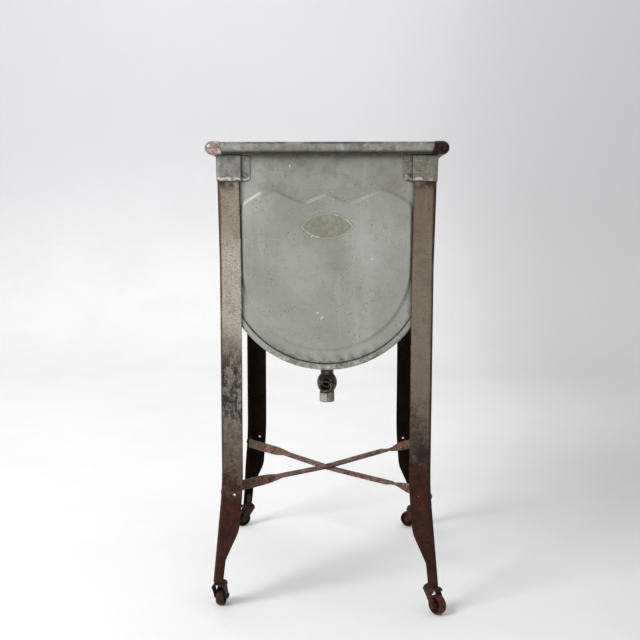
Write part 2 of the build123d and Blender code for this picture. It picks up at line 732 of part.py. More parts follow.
def make_caster_sleeve():
    """Sleeve in the ankle's corner that takes the caster's stem, with a collar under the leg."""
    with BuildPart() as caster_sleeve:
        with BuildSketch(Plane.XY.offset(COLLAR_LOW)):
            Circle(COLLAR_R)
        extrude(amount=COLLAR_TOP - COLLAR_LOW)
        with BuildSketch(Plane.XY.offset(COLLAR_TOP)):
            Circle(SLEEVE_R - GAP)
        extrude(amount=SLEEVE_TOP - COLLAR_TOP)
        fillet(caster_sleeve.faces().sort_by(Axis.Z)[-1].edges(), 2)
        with BuildSketch(Plane.XY.offset(COLLAR_LOW)):
            Circle(STEM_R + GAP)
        extrude(amount=STEM_TOP + 1 - COLLAR_LOW, mode=Mode.SUBTRACT)
    return caster_sleeve.part


def make_caster_stem():
    """Stem through the fork's plate, riveted over below it."""
    plate_low = FORK_TOP - FORK_PLATE
    with BuildPart() as caster_stem:
        with BuildSketch(Plane.XY.offset(plate_low - 2)):
            Circle(STEM_R)
        extrude(amount=STEM_TOP - plate_low + 2)
        chamfer(caster_stem.faces().sort_by(Axis.Z)[-1].edges(), 1.2)
        with BuildSketch(Plane.XY.offset(plate_low - 2)):
            Circle(STEM_R + 1)
        extrude(amount=2 - 0.02)
        fillet(caster_stem.faces().sort_by(Axis.Z)[0].edges(), 1.2)
    return caster_stem.part


def make_caster_fork():
    """Stamped inverted U with rounded shoulders; its cheeks narrow down to the axle."""
    axle_z = WHEEL_R
    with BuildPart() as caster_fork:
        with BuildSketch(Plane.XZ.offset(-FORK_HALF)):
            with Locations((TRAIL, axle_z)):
                Circle(BOSS_R)
            with Locations((0, CHEEK_TOP)):
                Rectangle(CHEEK_W, 2)
            make_hull()
            with Locations((PLATE_SHIFT, FORK_TOP)):
                Rectangle(PLATE_LEN, FORK_TOP - CHEEK_TOP, align=(Align.CENTER, Align.MAX))
        extrude(amount=2 * FORK_HALF)
        shoulders = caster_fork.edges().filter_by(Axis.X).group_by(Axis.Z)[-1]
        fillet(shoulders, SHOULDER_R)
        with BuildSketch(Plane.YZ.offset(-50)) as tunnel:
            with Locations((0, FORK_TOP - FORK_PLATE)):
                Rectangle(2 * (FORK_HALF - FORK_T), 60, align=(Align.CENTER, Align.MAX))
            fillet(tunnel.vertices().group_by(Axis.Y)[-1], SHOULDER_R - FORK_T)
        extrude(amount=100, mode=Mode.SUBTRACT)
        with BuildSketch(Plane.XY.offset(FORK_TOP - FORK_PLATE)):
            Circle(STEM_R + 0.02)
        extrude(amount=FORK_PLATE, mode=Mode.SUBTRACT)
        with BuildSketch(Plane.XZ):
            with Locations((TRAIL, axle_z)):
                Circle(AXLE_R + 0.02)
        extrude(amount=FORK_HALF, both=True, mode=Mode.SUBTRACT)
    return caster_fork.part


def make_caster_axle():
    """Axle through the cheeks, riveted over outside them."""
    with BuildPart() as caster_axle:
        with BuildSketch(Plane.XZ):
            with Locations((TRAIL, WHEEL_R)):
                Circle(AXLE_R)
        extrude(amount=FORK_HALF + 0.02, both=True)
        for face_y in (FORK_HALF + 0.02, -FORK_HALF - 2.42):
            with BuildSketch(Plane.XZ.offset(-face_y - 2.4)):
                with Locations((TRAIL, WHEEL_R)):
                    Circle(AXLE_R + 2)
            extrude(amount=2.4)
        ends = caster_axle.faces().filter_by(Axis.Y).sort_by(Axis.Y)
        fillet(ends[0].edges() + ends[-1].edges(), 1.8)
    return caster_axle.part


def make_caster_wheel():
    """Turned wheel: hub, thin web and a crowned tread."""
    with BuildPart() as caster_wheel:
        with BuildSketch(Plane.XY.offset(WHEEL_R)):
            with BuildLine():
                Polyline(
                    (TRAIL + AXLE_R + GAP, HUB_HALF),
                    (TRAIL + HUB_R, HUB_HALF),
                    (TRAIL + HUB_R + 0.6, WEB_HALF),
                    (TRAIL + WHEEL_RIM_IN, WEB_HALF),
                    (TRAIL + WHEEL_RIM_IN + 1.2, TREAD_HALF),
                    (TRAIL + WHEEL_R - 1.5, TREAD_HALF),
                    (TRAIL + WHEEL_R - 0.4, TREAD_HALF - 2.2),
                )
                ThreePointArc(
                    (TRAIL + WHEEL_R - 0.4, TREAD_HALF - 2.2),
                    (TRAIL + WHEEL_R, 0),
                    (TRAIL + WHEEL_R - 0.4, 2.2 - TREAD_HALF),
                )
                Polyline(
                    (TRAIL + WHEEL_R - 0.4, 2.2 - TREAD_HALF),
                    (TRAIL + WHEEL_R - 1.5, -TREAD_HALF),
                    (TRAIL + WHEEL_RIM_IN + 1.2, -TREAD_HALF),
                    (TRAIL + WHEEL_RIM_IN, -WEB_HALF),
                    (TRAIL + HUB_R + 0.6, -WEB_HALF),
                    (TRAIL + HUB_R, -HUB_HALF),
                    (TRAIL + AXLE_R + GAP, -HUB_HALF),
                    (TRAIL + AXLE_R + GAP, HUB_HALF),
                )
            make_face()
        revolve(axis=Axis((TRAIL, 0, WHEEL_R), (0, 1, 0)))
    return caster_wheel.part


def at_corner(piece, sx, sy):
    """A piece made for the +X +Y corner, mirrored to the corner with the given signs."""
    if sx < 0:
        piece = mirror(piece, about=Plane.YZ)
    if sy < 0:
        piece = mirror(piece, about=Plane.XZ)
    return piece


def save(piece, name):
    """Label a finished piece and write it under its own name."""
    piece.label = name
    export_step(piece, f"parts/{name}.step")


os.makedirs("parts", exist_ok=True)

save(make_shell(), "tub_shell")
front_panel = make_end_panel()
save(front_panel, "end_panel_front")
save(mirror(front_panel, about=Plane.XZ), "end_panel_rear")

corner_cap = make_corner_cap()
leg_socket = make_leg_socket()
end_height = {(sx, sy): z for sx, sy, z in brace_ends()}
for corner, (sx, sy) in CORNERS.items():
    save(at_corner(corner_cap, sx, sy), f"corner_cap_{corner}")
    save(at_corner(leg_socket, sx, sy), f"leg_socket_{corner}")
    save(at_corner(make_leg(end_height[sx, sy]), sx, sy), f"leg_{corner}")
save(make_socket_rivets(), "socket_rivets")

save(make_brace_bar(-BAR_LIFT, REAR_END_Z - BAR_LIFT, FRONT_END_Z - BAR_LIFT, 1), "brace_bar_lower")
save(make_brace_bar(BAR_LIFT, FRONT_END_Z + BAR_LIFT, REAR_END_Z + BAR_LIFT, -1), "brace_bar_upper")
save(make_brace_rivet(), "brace_rivet")
save(make_brace_bolts(), "brace_bolts")
save(make_brace_nuts(), "brace_nuts")

save(make_drain_flange(), "drain_flange")
save(make_drain_gasket(), "drain_gasket")
save(make_drain_locknut(), "drain_locknut")
save(make_valve_body(), "valve_body")
save(make_valve_plug(), "valve_plug")
save(make_valve_hex(), "valve_hex")

caster_pieces = {
    "caster_sleeve": make_caster_sleeve(),
    "caster_stem": make_caster_stem(),
    "caster_fork": make_caster_fork(),
    "caster_axle": make_caster_axle(),
    "caster_wheel": make_caster_wheel(),
}
for corner, (sx, sy) in CORNERS.items():
    place = Pos(sx * STEM_X, sy * STEM_Y, 0) * Rot(0, 0, TRAIL_TURN[corner])
    for name, piece in caster_pieces.items():
        save(place * piece, f"{name}_{corner}")
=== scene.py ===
from math import cos, pi, radians, sin

import bpy
from mathutils import Euler, Matrix, Vector

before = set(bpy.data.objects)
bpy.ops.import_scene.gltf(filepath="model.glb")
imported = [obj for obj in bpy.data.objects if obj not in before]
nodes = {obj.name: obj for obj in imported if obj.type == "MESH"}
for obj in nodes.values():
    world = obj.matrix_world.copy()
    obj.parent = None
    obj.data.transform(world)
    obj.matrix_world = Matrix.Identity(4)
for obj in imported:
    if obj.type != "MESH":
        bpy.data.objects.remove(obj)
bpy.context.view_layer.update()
scene = bpy.context.scene
CORNERS = ("fl", "fr", "rl", "rr")


# ---------------------------------------------------------------- shader helpers
class Shader:
    """A material's node tree, built with short calls. Values may be sockets or plain numbers."""

    def __init__(self, name):
        self.material = bpy.data.materials.new(name)
        self.material.use_nodes = True
        self.tree = self.material.node_tree
        self.tree.nodes.clear()
        self.out = self.tree.nodes.new("ShaderNodeOutputMaterial")
        self.bsdf = self.tree.nodes.new("ShaderNodeBsdfPrincipled")
        self.tree.links.new(self.bsdf.outputs[0], self.out.inputs[0])
        coordinates = self.node("ShaderNodeTexCoord")
        self.place = coordinates.outputs["Object"]
        self.own_normal = coordinates.outputs["Normal"]

    def node(self, kind, **settings):
        made = self.tree.nodes.new(kind)
        for key, value in settings.items():
            setattr(made, key, value)
        return made

    def put(self, socket, value):
        if isinstance(value, bpy.types.NodeSocket):
            self.tree.links.new(value, socket)
        elif isinstance(value, (tuple, list)) and len(value) == 3 and socket.type == "RGBA":
            socket.default_value = (*value, 1.0)
        else:
            socket.default_value = value

    def math(self, operation, a, b=0.0, clamp=False):
        made = self.node("ShaderNodeMath", operation=operation, use_clamp=clamp)
        self.put(made.inputs[0], a)
        self.put(made.inputs[1], b)
        return made.outputs[0]

    def vector(self, operation, a, b=(0.0, 0.0, 0.0)):
        made = self.node("ShaderNodeVectorMath", operation=operation)
        self.put(made.inputs[0], a)
        self.put(made.inputs[1], b)
        return made.outputs["Value" if operation in ("DOT_PRODUCT", "LENGTH", "DISTANCE") else "Vector"]

    def moved(self, scale=(1, 1, 1), shift=(0, 0, 0)):
        return self.vector("ADD", self.vector("MULTIPLY", self.place, scale), shift)

    def noise(self, scale, detail=4.0, rough=0.55, where=None, distortion=0.0):
        made = self.node("ShaderNodeTexNoise")
        self.put(made.inputs["Vector"], where or self.place)
        for key, value in (("Scale", scale), ("Detail", detail), ("Roughness", rough), ("Distortion", distortion)):
            self.put(made.inputs[key], value)
        return made.outputs["Fac"]

    def cells(self, scale, where=None, feature="F1", randomness=1.0):
        made = self.node("ShaderNodeTexVoronoi", feature=feature)
        self.put(made.inputs["Vector"], where or self.place)
        self.put(made.inputs["Scale"], scale)
        self.put(made.inputs["Randomness"], randomness)
        return made.outputs["Distance"]

    def step(self, value, low, high, to_low=0.0, to_high=1.0):
        made = self.node("ShaderNodeMapRange", interpolation_type="SMOOTHSTEP")
        for index, item in enumerate((value, low, high, to_low, to_high)):
            self.put(made.inputs[index], item)
        return made.outputs[0]

    def mix(self, factor, a, b, mode="MIX"):
        made = self.node("ShaderNodeMix", data_type="RGBA", blend_type=mode)
        self.put(made.inputs["Factor"], factor)
        self.put(made.inputs[6], a)
        self.put(made.inputs[7], b)
        return made.outputs[2]

    def axes(self, where=None):
        made = self.node("ShaderNodeSeparateXYZ")
        self.put(made.inputs[0], where or self.place)
        return made.outputs[0], made.outputs[1], made.outputs[2]

    def times(self, *values):
        total = values[0]
        for value in values[1:]:
            total = self.math("MULTIPLY", total, value)
        return total

    def most(self, *values):
        total = values[0]
        for value in values[1:]:
            total = self.math("MAXIMUM", total, value)
        return total

    def normal(self):
        return self.node("ShaderNodeNewGeometry").outputs["Normal"]

    def edge(self, radius=0.0015, low=0.02, high=0.25):
        """1 on sharp edges, 0 on flats."""
        bevel = self.node("ShaderNodeBevel", samples=6)
        self.put(bevel.inputs["Radius"], radius)
        away = self.math("SUBTRACT", 1.0, self.vector("DOT_PRODUCT", bevel.outputs[0], self.normal()))
        return self.step(away, low, high)

    def cavity(self, distance=0.012, low=0.45, high=0.95):
        """1 deep in corners and gaps, 0 in the open."""
        made = self.node("ShaderNodeAmbientOcclusion", samples=6)
        self.put(made.inputs["Distance"], distance)
        return self.step(made.outputs["AO"], low, high, 1.0, 0.0)

    def finish(self, colour, rough, metal, bumps=(), edge_radius=0.0006, coat=0.0):
        """Connects the surface. bumps is a list of (height, strength, distance)."""
        bevel = self.node("ShaderNodeBevel", samples=4)
        self.put(bevel.inputs["Radius"], edge_radius)
        turned = bevel.outputs[0]
        for height, strength, distance in bumps:
            bump = self.node("ShaderNodeBump")
            self.put(bump.inputs["Strength"], strength)
            self.put(bump.inputs["Distance"], distance)
            self.put(bump.inputs["Height"], height)
            self.put(bump.inputs["Normal"], turned)
            turned = bump.outputs[0]
        self.put(self.bsdf.inputs["Base Color"], colour)
        self.put(self.bsdf.inputs["Roughness"], rough)
        self.put(self.bsdf.inputs["Metallic"], metal)
        self.put(self.bsdf.inputs["Coat Weight"], coat)
        self.put(self.bsdf.inputs["Normal"], turned)
        return self.material


# ---------------------------------------------------------------- materials
BASIN_Z = 0.6635  # height of the round bottom's centre line
HEM_IN = 0.1855  # radius of the hem's inner edge


def galvanised(name, seed, front=False):
    """Old zinc-coated sheet: soft grey-green, mottled and streaked, stained under the rim and at seams, with painted
    shade in corners, in the hem's crevice and under the rolled rim.
    """
    s = Shader(name)
    x, y, z = s.axes()
    nx, ny, nz = s.axes(s.own_normal)
    here = s.moved(shift=(seed, seed * 0.7, seed * 1.3))
    streaks = s.noise(1.0, 5, 0.6, s.moved((24, 24, 3.0), (seed, 0, 0)))
    clouds = s.noise(9.0, 4, 0.6, here)
    mottle = s.noise(85.0, 5, 0.72, here)
    grain = s.noise(520.0, 3, 0.65, here)
    colour = s.mix(s.step(clouds, 0.3, 0.72), (0.300, 0.306, 0.268), (0.395, 0.402, 0.360))
    colour = s.mix(s.times(s.step(streaks, 0.5, 0.76), 0.55), colour, (0.47, 0.48, 0.44))
    colour = s.mix(s.times(s.step(mottle, 0.52, 0.75), 0.40), colour, (0.235, 0.238, 0.20))
    colour = s.mix(s.times(s.step(mottle, 0.25, 0.44, 1.0, 0.0), 0.30), colour, (0.48, 0.49, 0.45))
    colour = s.mix(s.times(s.step(grain, 0.52, 0.72), 0.36), colour, (0.215, 0.215, 0.19))

    # brownish-olive stains under the rim, darker and dirtier towards the top
    upper = s.step(z, 0.76, 0.85)
    colour = s.mix(s.times(upper, 0.28), colour, (0.20, 0.195, 0.165))
    olive = s.times(upper, s.step(s.noise(17, 5, 0.65, here), 0.5, 0.66), 0.55)
    colour = s.mix(olive, colour, (0.185, 0.18, 0.13))
    smears = s.times(upper, s.step(s.noise(1.0, 5, 0.7, s.moved((60, 60, 170), (seed, 3, 0))), 0.58, 0.7), 0.5)
    colour = s.mix(smears, colour, (0.13, 0.125, 0.11))

    # dirt that gathers above the hem at the lowest part, and a black line in the hem's crevice, partly dirt and partly
    # painted shade
    offset = s.node("ShaderNodeCombineXYZ")
    s.put(offset.inputs[0], x)
    s.put(offset.inputs[2], s.math("SUBTRACT", z, BASIN_Z))
    radial = s.vector("LENGTH", offset.outputs[0])
    low = s.step(z, 0.485, 0.53, 1.0, 0.0)
    end = s.step(s.math("ABSOLUTE", y), 0.222, 0.224)
    band = s.times(low, end, s.step(radial, HEM_IN - 0.022, HEM_IN - 0.004), s.step(s.noise(75, 6, 0.7, here), 0.4, 0.62))
    colour = s.mix(s.times(band, 0.7), colour, (0.10, 0.092, 0.072))
    below = s.step(z, 0.60, 0.66, 1.0, 0.0)
    # the crevice line: dirt plus painted shade where the hem meets the panel
    crevice = s.times(below, end, s.step(radial, HEM_IN - 0.0032, HEM_IN - 0.0008), s.step(radial, HEM_IN + 0.0002, HEM_IN + 0.0012, 1.0, 0.0))
    dotted = s.step(s.noise(95, 5, 0.75, here), 0.38, 0.55, 0.55, 1.0)
    colour = s.mix(s.times(crevice, dotted, 0.92), colour, (0.022, 0.018, 0.014))
    lip = s.times(low, end, s.step(radial, HEM_IN + 0.002, HEM_IN + 0.004))
    colour = s.mix(s.times(lip, s.step(s.noise(110, 5, 0.7, here), 0.52, 0.68), 0.7), colour, (0.62, 0.62, 0.58))
    colour = s.mix(s.times(lip, s.step(s.noise(90, 5, 0.7, s.moved(shift=(3, 1, seed))), 0.56, 0.68), 0.7), colour, (0.12, 0.105, 0.085))

    # grime and painted shade in corners and under the rim
    grime_and_shade = s.times(s.cavity(0.012, 0.5, 0.97), s.step(s.noise(60, 4, 0.6, here), 0.25, 0.6, 0.6, 1.0))
    colour = s.mix(s.times(grime_and_shade, 0.9), colour, (0.035, 0.03, 0.023))
    # dark specks and pits
    specks = s.times(s.step(s.cells(150, here), 0.11, 0.19, 1.0, 0.0), s.step(s.noise(30, 3, 0.5, here), 0.5, 0.6))
    fine = s.times(s.step(s.cells(400, here), 0.14, 0.24, 1.0, 0.0), s.step(s.noise(46, 3, 0.5, here), 0.47, 0.6))
    colour = s.mix(s.times(s.most(specks, fine), 0.8), colour, (0.07, 0.062, 0.05))
    # rolled rim: blotched, streaked along its length, browner and darker on top; its underside is darkened with painted
    # shade
    rim = s.step(z, 0.8665, 0.8685)
    blotch = s.step(s.noise(42, 7, 0.72, here), 0.44, 0.6)
    colour = s.mix(s.times(rim, blotch, 0.62), colour, (0.155, 0.14, 0.12))
    pale = s.step(s.noise(60, 6, 0.7, s.moved(shift=(seed, 6, 6))), 0.5, 0.66)
    colour = s.mix(s.times(rim, pale, 0.6), colour, (0.50, 0.51, 0.49))
    rust = s.step(s.noise(30, 6, 0.65, s.moved(shift=(seed + 4, 2, 1))), 0.57, 0.67)
    colour = s.mix(s.times(rim, rust, 0.6), colour, (0.145, 0.09, 0.055))
    top = s.times(s.step(z, 0.8838, 0.8878), s.step(s.noise(14, 5, 0.65, here), 0.40, 0.56))
    colour = s.mix(s.times(top, 0.85), colour, (0.035, 0.036, 0.042))
    # painted shade: downward-facing parts of the rolled rim are darkened
    under = s.times(rim, s.step(nz, -0.75, -0.25, 1.0, 0.0))
    colour = s.mix(s.times(under, 0.85), colour, (0.028, 0.024, 0.019))
    # worn, brighter edges
    worn = s.times(s.edge(0.0012), s.step(s.noise(70, 3, 0.5, here), 0.4, 0.6))
    colour = s.mix(s.times(worn, 0.5), colour, (0.62, 0.62, 0.58))
    bumps = [
        (s.noise(7, 2, 0.5, here), 0.25, 0.006),
        (s.noise(44, 4, 0.6, here), 0.35, 0.0009),
        (s.noise(420, 3, 0.6, here), 0.35, 0.00018),
    ]
    if front:
        for px, pz, size, amount, tone in (
            (-0.110, 0.806, 0.020, 0.42, (0.17, 0.165, 0.115)),
            (-0.082, 0.808, 0.014, 0.36, (0.17, 0.165, 0.115)),
            (0.122, 0.812, 0.022, 0.34, (0.20, 0.170, 0.120)),
            (0.072, 0.700, 0.030, 0.42, (0.47, 0.48, 0.47)),
            (0.088, 0.672, 0.020, 0.35, (0.50, 0.51, 0.50)),
        ):
            spot = s.node("ShaderNodeCombineXYZ")
            s.put(spot.inputs[0], s.math("SUBTRACT", x, px))
            s.put(spot.inputs[2], s.math("SUBTRACT", z, pz))
            ragged = s.times(s.math("SUBTRACT", s.noise(55, 6, 0.7, here), 0.5), size * 1.8)
            far = s.math("ADD", s.vector("LENGTH", spot.outputs[0]), ragged)
            colour = s.mix(s.times(s.step(far, size * 0.3, size * 1.1, 1.0, 0.0), amount), colour, tone)
        colour, mark = label_ghost(s, colour, x, y, z)
        bumps.append((mark, 0.3, 0.0005))
        colour = scratches(s, colour, x, y, z)
    rough = s.step(clouds, 0.2, 0.8, 0.44, 0.60)
    rough = s.math("ADD", rough, s.times(s.most(grime_and_shade, specks), 0.25))
    return s.finish(colour, rough, s.step(grime_and_shade, 0, 1, 0.5, 0.1), bumps)


def label_ghost(s, colour, x, y, z):
    """Blank outline where a lens-shaped label was: olive and speckled inside, a broken pale line round it."""
    flat = s.node("ShaderNodeCombineXYZ")
    wobble = s.times(s.math("SUBTRACT", s.noise(60, 3, 0.6), 0.5), 0.004)
    s.put(flat.inputs[0], s.math("ADD", x, wobble))
    s.put(flat.inputs[2], s.math("ADD", z, wobble))
    half_w, half_h, cx, cz = 0.0525, 0.0265, 0.0015, 0.7365
    radius = (half_w**2 + half_h**2) / (2 * half_h)
    drop = radius - half_h
    over = s.vector("DISTANCE", flat.outputs[0], (cx, 0, cz - drop))
    under = s.vector("DISTANCE", flat.outputs[0], (cx, 0, cz + drop))
    far = s.most(over, under)
    outside = s.step(y, -0.226, -0.224, 1.0, 0.0)
    inside = s.times(s.step(far, radius - 0.006, radius - 0.003, 1.0, 0.0), outside)
    edge = s.times(s.step(far, radius - 0.0012, radius, 1.0, 0.0), outside)
    outer = s.times(s.step(far, radius - 0.0026, radius - 0.0016), edge)
    line = s.times(s.step(far, radius - 0.0048, radius - 0.0040), s.step(far, radius - 0.0030, radius - 0.0022, 1.0, 0.0), outside)
    # the pale line is strongest at the upper right and the lower left
    slant = s.math("MULTIPLY", s.math("SUBTRACT", x, cx), s.math("SUBTRACT", z, cz))
    strong = s.step(slant, -0.0001, 0.00035, 0.25, 1.0)
    patchy = s.step(s.noise(130, 5, 0.7), 0.40, 0.6)
    colour = s.mix(s.times(edge, 0.35), colour, (0.27, 0.27, 0.20))
    colour = s.mix(s.times(inside, 0.42), colour, (0.275, 0.278, 0.200))
    colour = s.mix(s.times(inside, patchy, 0.5), colour, (0.185, 0.188, 0.125))
    colour = s.mix(s.times(outer, s.step(s.noise(90, 4, 0.6), 0.4, 0.6), 0.55), colour, (0.15, 0.145, 0.10))
    colour = s.mix(s.times(line, strong, s.step(s.noise(70, 4, 0.6), 0.35, 0.55), 0.75), colour, (0.62, 0.62, 0.52))
    return colour, inside


def scratches(s, colour, x, y, z):
    """A few small bright nicks on the front panel."""
    for px, pz, length, width, slope in (
        (-0.008, 0.566, 0.009, 0.0022, 0.9),
        (-0.016, 0.575, 0.005, 0.0020, 0.5),
        (-0.068, 0.847, 0.004, 0.0022, 1.2),
        (0.085, 0.676, 0.005, 0.0016, 0.3),
        (-0.027, 0.718, 0.003, 0.0020, 0.1),
    ):
        dx = s.math("SUBTRACT", x, px)
        dz = s.math("SUBTRACT", z, pz)
        along = s.math("ADD", s.times(dx, cos(slope)), s.times(dz, sin(slope)))
        across = s.math("SUBTRACT", s.times(dz, cos(slope)), s.times(dx, sin(slope)))
        jag = s.times(s.math("SUBTRACT", s.noise(700, 2, 0.5), 0.5), 0.002)
        near = s.step(s.math("ABSOLUTE", s.math("ADD", along, jag)), length * 0.35, length * 0.5, 1.0, 0.0)
        thin = s.step(s.math("ABSOLUTE", s.math("ADD", across, jag)), width * 0.3, width * 0.6, 1.0, 0.0)
        colour = s.mix(s.times(near, thin, 0.85), colour, (0.78, 0.80, 0.77))
    return colour


def leg_paint(name, seed, sx, sy, look):
    """Worn paint above, flaking to red-brown rust below; darker rust and painted shade inside the angle.

    look: paint near the top, in the middle and below, height where rust begins and is complete,
    chipped band (low, high, darkness) and the colour of the outer corner: rubbed-through rust, painted shade on the
    front right leg."""
    s = Shader(name)
    x, y, z = s.axes()
    here = s.moved(shift=(seed, seed * 0.6, seed * 1.7))
    streaks = s.noise(1.0, 5, 0.62, s.moved((70, 70, 8), (seed, 0, 0)))
    fine = s.noise(340, 6, 0.78, here)
    patches = s.noise(34, 7, 0.72, here)
    upper, middle, lower = look["paint"]
    wander = s.times(s.math("SUBTRACT", s.noise(12, 4, 0.6, here), 0.5), 0.25)
    level = s.math("ADD", z, wander)
    colour = s.mix(s.step(level, 0.68, 0.79), middle, upper)
    colour = s.mix(s.step(level, 0.45, 0.56, 1.0, 0.0), colour, lower)
    colour = s.mix(s.times(s.step(patches, 0.48, 0.66), 0.5), colour, tuple(c * 0.62 for c in lower))
    colour = s.mix(s.times(s.step(streaks, 0.52, 0.72), 0.45), colour, tuple(min(c * 1.3, 0.8) for c in middle))
    colour = s.mix(s.times(s.step(fine, 0.47, 0.62), 0.62), colour, (0.085, 0.066, 0.046))
    colour = s.mix(s.times(s.step(fine, 0.30, 0.42, 1.0, 0.0), 0.35), colour, tuple(min(c * 1.35, 0.8) for c in middle))

    # rust colours
    rust = s.mix(s.step(s.noise(38, 7, 0.72, here), 0.36, 0.64), (0.052, 0.012, 0.006), (0.018, 0.005, 0.003))
    rust = s.mix(s.times(s.step(s.noise(160, 5, 0.75, here), 0.52, 0.7), 0.45), rust, (0.110, 0.031, 0.014))
    dark_spots = s.step(s.noise(95, 5, 0.72, s.moved(shift=(seed, 9, 3))), 0.56, 0.7)
    rust = s.mix(s.times(dark_spots, 0.6), rust, (0.014, 0.008, 0.006))
    brown = s.mix(s.step(s.noise(120, 6, 0.75, here), 0.42, 0.6), (0.105, 0.07, 0.042), (0.034, 0.022, 0.015))

    # paint gives way to olive-brown, then to rust, with ragged islands
    ragged = s.times(s.math("SUBTRACT", s.noise(34, 8, 0.75, here), 0.5), 0.34)
    level = s.math("ADD", z, ragged)
    rust_from, rust_to = look["rust"]
    dull = s.step(level, rust_from, rust_from + 0.12, 1.0, 0.0)
    low = s.step(level, rust_to, rust_from, 1.0, 0.0)
    # edges rub through to rust all the way up
    rub = s.times(s.edge(0.0045, 0.01, 0.2), s.step(s.noise(46, 6, 0.7, here), 0.36, 0.52))
    # chipped-through dark patches
    low_chip, high_chip, dark_chip = look["chips"]
    near = s.times(s.step(z, low_chip - 0.04, low_chip + 0.04), s.step(z, high_chip - 0.04, high_chip + 0.04, 1.0, 0.0))
    broken = s.times(near, s.step(s.noise(60, 9, 0.82, s.moved((1.5, 1.5, 0.75), (seed, 0, 0))), 0.46, 0.52))
    pits = s.step(s.noise(140, 6, 0.75, here), 0.60, 0.65)
    top = s.times(s.step(z, 0.797, 0.816), s.step(s.noise(70, 5, 0.65, here), 0.38, 0.56))
    colour = s.mix(s.times(dull, 0.9), colour, brown)
    colour = s.mix(s.most(low, s.times(rub, 0.85), s.times(top, 0.9)), colour, rust)
    colour = s.mix(s.times(broken, dark_chip), colour, (0.016, 0.016, 0.02))
    colour = s.mix(s.times(pits, s.step(z, 0.25, 0.5, 1.0, 0.6), 0.85), colour, (0.035, 0.022, 0.016))
    # the rounded outer corner is darkened: rubbed through to rust, and on the front right leg it is painted shade
    nx, ny, nz = s.axes(s.own_normal)
    corner = s.times(s.step(s.math("ABSOLUTE", nx), 0.12, 0.4), s.step(s.math("ABSOLUTE", ny), 0.12, 0.4))
    corner_rust_and_shade_tone, amount = look["corner"]
    if "streak" in look:
        # streak down the outer edge from the top: red-brown rust rubbed through on the front left leg, painted shade
        # along the front right leg's right edge
        start, end, place, width, tone = look["streak"]
        stray = s.times(s.math("SUBTRACT", s.noise(1.0, 5, 0.7, s.moved((60, 60, 14), (seed, 4, 0))), 0.5), 0.012)
        off = s.math("ABSOLUTE", s.math("SUBTRACT", s.math("ADD", x, stray), place))
        along = s.times(s.step(z, end - 0.03, end + 0.02), s.step(z, start - 0.02, start, 1.0, 0.0))
        streak = s.times(along, s.step(off, width * 0.3, width, 1.0, 0.0), s.step(fine, 0.36, 0.5))
        colour = s.mix(s.times(streak, 0.9), colour, tone)
    if "blot" in look:
        # one dark burnt-looking spot
        bx, bz, size = look["blot"]
        place = s.node("ShaderNodeCombineXYZ")
        s.put(place.inputs[0], s.math("SUBTRACT", x, bx))
        s.put(place.inputs[2], s.times(s.math("SUBTRACT", z, bz), 0.75))
        far = s.math("ADD", s.vector("LENGTH", place.outputs[0]), s.times(s.math("SUBTRACT", patches, 0.5), size * 1.6))
        colour = s.mix(s.times(s.step(far, size * 0.45, size, 1.0, 0.0), 0.93), colour, (0.016, 0.010, 0.009))
    uneven = s.step(s.noise(1.0, 6, 0.7, s.moved((50, 50, 16), (seed, 2, 0))), 0.36, 0.56, 0.25, 1.0)
    colour = s.mix(s.times(corner, uneven, amount), colour, corner_rust_and_shade_tone)
    # the inside of the angle is dark everywhere: dark rust plus painted shade
    inward = s.vector("DOT_PRODUCT", s.own_normal, (-sx, -sy, 0.0))
    inside_rust_and_shade = s.step(inward, 0.15, 0.5)
    dark = s.mix(s.step(patches, 0.42, 0.62), (0.012, 0.005, 0.003), (0.004, 0.0025, 0.002))
    colour = s.mix(s.times(inside_rust_and_shade, 0.97), colour, dark)
    # painted shade darkens corners and gaps
    colour = s.mix(s.times(s.cavity(0.008), 0.8), colour, (0.012, 0.007, 0.005))
    bumps = [
        (s.noise(14, 2, 0.5, here), 0.3, 0.004),
        (s.math("ADD", low, s.most(broken, pits)), 0.35, -0.0004),
        (s.noise(240, 5, 0.7, here), 0.6, 0.0004),
    ]
    rough = s.step(s.most(low, rub, inside_rust_and_shade), 0, 1, 0.55, 0.85)
    s.put(s.bsdf.inputs["Specular IOR Level"], s.step(inside_rust_and_shade, 0, 1, 0.25, 0.08))
    return s.finish(colour, rough, 0.05, bumps)


def rusted(name, seed, light, mid, dark, metal=0.2, rough=0.74, scale=1.0, stain=None):
    """Bare iron with an even coat of rust, rubbed lighter on its edges."""
    s = Shader(name)
    here = s.moved(shift=(seed, seed * 1.9, seed * 0.4))
    patches = s.noise(60 * scale, 6, 0.72, here)
    colour = s.mix(s.step(patches, 0.38, 0.62), mid, dark)
    colour = s.mix(s.times(s.step(s.noise(210 * scale, 5, 0.75, here), 0.48, 0.66), 0.75), colour, light)
    if stain:
        tone, low, high = stain
        x, y, z = s.axes()
        place = s.math("ADD", x, s.times(s.math("SUBTRACT", s.noise(30, 4, 0.6, here), 0.5), 0.12))
        colour = s.mix(s.times(s.step(place, low, high, 1.0, 0.0), s.step(s.noise(150, 5, 0.7, here), 0.36, 0.5, 0.5, 1.0)), colour, tone)
    rub = s.times(s.edge(0.0016), s.step(s.noise(90 * scale, 4, 0.6, here), 0.38, 0.62))
    colour = s.mix(s.times(rub, 0.6), colour, light)
    # painted shade darkens corners and gaps
    colour = s.mix(s.times(s.cavity(0.006), 0.8), colour, tuple(c * 0.3 for c in dark))
    bumps = [
        (s.noise(120 * scale, 4, 0.65, here), 0.5, 0.0006),
        (s.noise(520 * scale, 4, 0.7, here), 0.5, 0.0002),
    ]
    s.put(s.bsdf.inputs["Specular IOR Level"], 0.25)
    return s.finish(colour, s.step(patches, 0.3, 0.7, rough - 0.14, rough + 0.1), metal, bumps)


